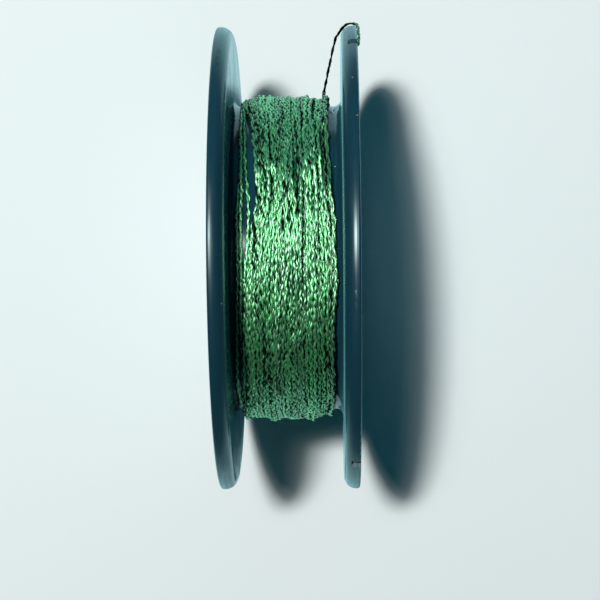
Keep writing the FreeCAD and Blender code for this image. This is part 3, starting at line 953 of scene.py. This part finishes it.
class SPOOL_OT_free_end(bpy.types.Operator):
    """Lead the line's free end from the pack over the right rim and through its notch"""

    bl_idname = "spool.free_end"
    bl_label = "Free end"

    def execute(self, context):
        line, colours = context.scene.spool_line, context.scene.spool_colours
        corners = [around(r, np.float64(d), y) * MM for r, d, y in TAG_ROUTE]
        data = bpy.data.curves.new("line_free_end route", "CURVE")
        data.dimensions = "3D"
        spline = data.splines.new("NURBS")
        spline.points.add(len(corners) - 1)
        for point, corner in zip(spline.points, corners):
            point.co = (*corner, 1.0)
        spline.order_u = 3
        spline.use_endpoint_u = True
        spline.resolution_u = 24
        read = evaluated(add_object("line_free_end route", data))
        points = np.array([v.co for v in read.vertices])
        bpy.data.meshes.remove(read)
        steps = np.linalg.norm(np.diff(points, axis=0), axis=1)
        run_length = np.concatenate([[0], np.cumsum(steps)])
        point_spacing = 0.2 * MM
        even = np.linspace(0, run_length[-1], int(run_length[-1] / point_spacing))
        points = np.stack([np.interp(even, run_length, points[:, k]) for k in range(3)], axis=1)
        outward = points * (1, 0, 1)
        outward /= np.linalg.norm(outward, axis=1)[:, None]
        zero = np.zeros(len(points))
        part = {"points": points, "out": outward, "lay": even / line.lay, "splay": zero + 0.5}
        part.update(dict.fromkeys(("twist", "tone", "exposed"), zero))
        # A darker copy of the braid's material: painted shade for the free end
        material = coated_braid("Resin-coated polyethylene braid, pulled taut", colours, 0.36)
        tree = bpy.data.node_groups["Four-strand braid"]
        # The strands swell over the crossings, so their middles keep to a smaller width
        slim = 0.8 * line.tag_width
        piece = braided("line_free_end", tree, part, material, line, slim, slim, 0.72)
        place_line(piece, "line_tag")
        return {"FINISHED"}


class SPOOL_OT_table(bpy.types.Operator):
    """Set the table, the lamp, the room's light and the camera"""

    bl_idname = "spool.table"
    bl_label = "Table and light"

    def execute(self, context):
        light, colours, scene = context.scene.spool_light, context.scene.spool_colours, context.scene
        self.table(light, colours)
        self.lamp(light)
        self.room(light, scene)
        self.camera()
        scene.view_settings.view_transform = "Standard"
        return {"FINISHED"}

    @staticmethod
    def table(light, colours):
        """A pale table, which the camera sees in its own colour. To the spool it shows a bluer copy of that
        colour, with a painted pool of light: the copy dims to a small share beyond a radius round the spool, so
        that the light it gives the spool is nearly gone there."""
        # The painted pool's share beyond its radius, and metres from the table's middle to its edges
        dimmed, half_width = 0.06, 3.0
        start, end = 0.8 * light.painted_pool_radius, 1.2 * light.painted_pool_radius
        material, add = blank_material("Matt laminate")
        top = clouded(add, colours.table, 0.985, 25, 3.0)
        # Painted light: the colour that the spool sees fades to the dim share beyond the pool's radius
        beyond = add(
            "ShaderNodeMapRange",
            {"Value": axis_distance(add, (1, 1, 0)), "From Min": start, "From Max": end},
            interpolation_type="SMOOTHSTEP",
        )
        near, far = rgba(colours.bounce), rgba([c * dimmed for c in colours.bounce])
        given = add("ShaderNodeMix", {"Factor": beyond, "A": near, "B": far}, data_type="RGBA")
        seen = add("ShaderNodeLightPath").outputs["Is Camera Ray"]
        lit = add("ShaderNodeMix", {"Factor": seen, "A": given.outputs["Result"], "B": top}, data_type="RGBA")
        shaded(material, Base_Color=lit.outputs["Result"], Roughness=0.75)
        low = -FLANGE_RADIUS * MM
        corners = [(x * half_width, y * half_width, low) for x, y in ((-1, -1), (1, -1), (1, 1), (-1, 1))]
        mesh_object("table", corners, [(0, 1, 2, 3)], material)

    @staticmethod
    def lamp(light):
        """A round lamp in a wider shade, a little towards -X and -Y of straight above, and turned to light that
        side of the table a little more."""
        toward = Vector((-0.2, -0.2, 1.0)).normalized()
        place = toward * light.lamp_distance
        aimed_at = Vector((-1.15, -0.72, 0.0))
        axis = (place - aimed_at).normalized()
        turn = axis.to_track_quat("Z", "Y").to_matrix().to_4x4()
        for name, size, share in (
            ("lamp", light.lamp_size, 1 - light.shade_share),
            ("shade", light.shade_size, light.shade_share),
        ):
            data = bpy.data.lights.new(name, "AREA")
            data.shape = "DISK"
            data.size = size
            data.energy = math.pi**2 * light.lamp_share * share * light.lamp_distance**2 / axis.dot(toward)
            add_object(name, data).matrix_world = Matrix.Translation(place) @ turn

    @staticmethod
    def room(light, scene):
        """A dim blue-green overhead, a brighter wall towards -X, and a pale backdrop behind the table."""
        world = bpy.data.worlds.new("room")
        world.use_nodes = True
        world.node_tree.nodes.clear()
        add = partial(add_node, world.node_tree)
        toward = add("ShaderNodeTexCoord").outputs["Generated"]
        parts = add("ShaderNodeSeparateXYZ", {0: toward}).outputs
        wall = add(
            "ShaderNodeMapRange",
            {"Value": parts["X"], "From Min": -0.95, "From Max": -0.4, "To Min": light.window, "To Max": 0.0},
            interpolation_type="SMOOTHSTEP",
        )
        level = add("ShaderNodeMath", {0: wall, 1: light.room}, operation="ADD")
        dim = add("ShaderNodeBackground", {"Color": rgba(linear("#50C6EE")), "Strength": level})
        pale = add("ShaderNodeBackground", {"Color": rgba(linear("#E6F3F5")), "Strength": 1.0})
        seen = add("ShaderNodeLightPath").outputs["Is Camera Ray"]
        mixed = add("ShaderNodeMixShader", {0: seen, 1: dim, 2: pale})
        add("ShaderNodeOutputWorld", {"Surface": mixed})
        scene.world = world

    @staticmethod
    def camera():
        """A camera nearly straight above, as the spool's rims show in the photo."""
        data = bpy.data.cameras.new("camera")
        data.sensor_width = 36.0
        data.lens = 108.7
        data.clip_start = 0.01
        camera = add_object("camera", data)
        right = Vector((0.00921, 0.99983, -0.0157)).normalized()
        back = Vector((-0.03901, 0.01605, 0.99911)).normalized()
        up = back.cross(right)
        turn = Matrix((right, up, back)).transposed().to_4x4()
        camera.matrix_world = Matrix.Translation(Vector((-4.4, 6.0, 276.5)) * MM) @ turn
        bpy.context.scene.camera = camera


class SPOOL_PT_panel(bpy.types.Panel):
    """The spool's sizes, colours and steps"""

    bl_idname = "SPOOL_PT_panel"
    bl_label = "Fishing line spool"
    bl_space_type = "VIEW_3D"
    bl_region_type = "UI"
    bl_category = "Spool"

    def draw(self, context):
        scene = context.scene
        for group in (scene.spool_line, scene.spool_colours, scene.spool_light):
            box = self.layout.box()
            for name in group.bl_rna.properties.keys():
                if name not in {"rna_type", "name"}:
                    box.prop(group, name)
        for operator in OPERATORS:
            self.layout.operator(operator.bl_idname)


OPERATORS = (SPOOL_OT_mouldings, SPOOL_OT_labels, SPOOL_OT_wound_line, SPOOL_OT_free_end, SPOOL_OT_table)
CLASSES = (SpoolLineSizes, SpoolColours, SpoolLight, *OPERATORS, SPOOL_PT_panel)


def register():
    for item in CLASSES:
        bpy.utils.register_class(item)
    bpy.types.Scene.spool_line = PointerProperty(type=SpoolLineSizes)
    bpy.types.Scene.spool_colours = PointerProperty(type=SpoolColours)
    bpy.types.Scene.spool_light = PointerProperty(type=SpoolLight)


def unregister():
    del bpy.types.Scene.spool_light
    del bpy.types.Scene.spool_colours
    del bpy.types.Scene.spool_line
    for item in reversed(CLASSES):
        bpy.utils.unregister_class(item)


def main():
    register()
    bpy.ops.spool.mouldings()
    bpy.ops.spool.labels()
    bpy.ops.spool.wound_line()
    bpy.ops.spool.free_end()
    bpy.ops.spool.table()


if __name__ == "__main__":
    main()
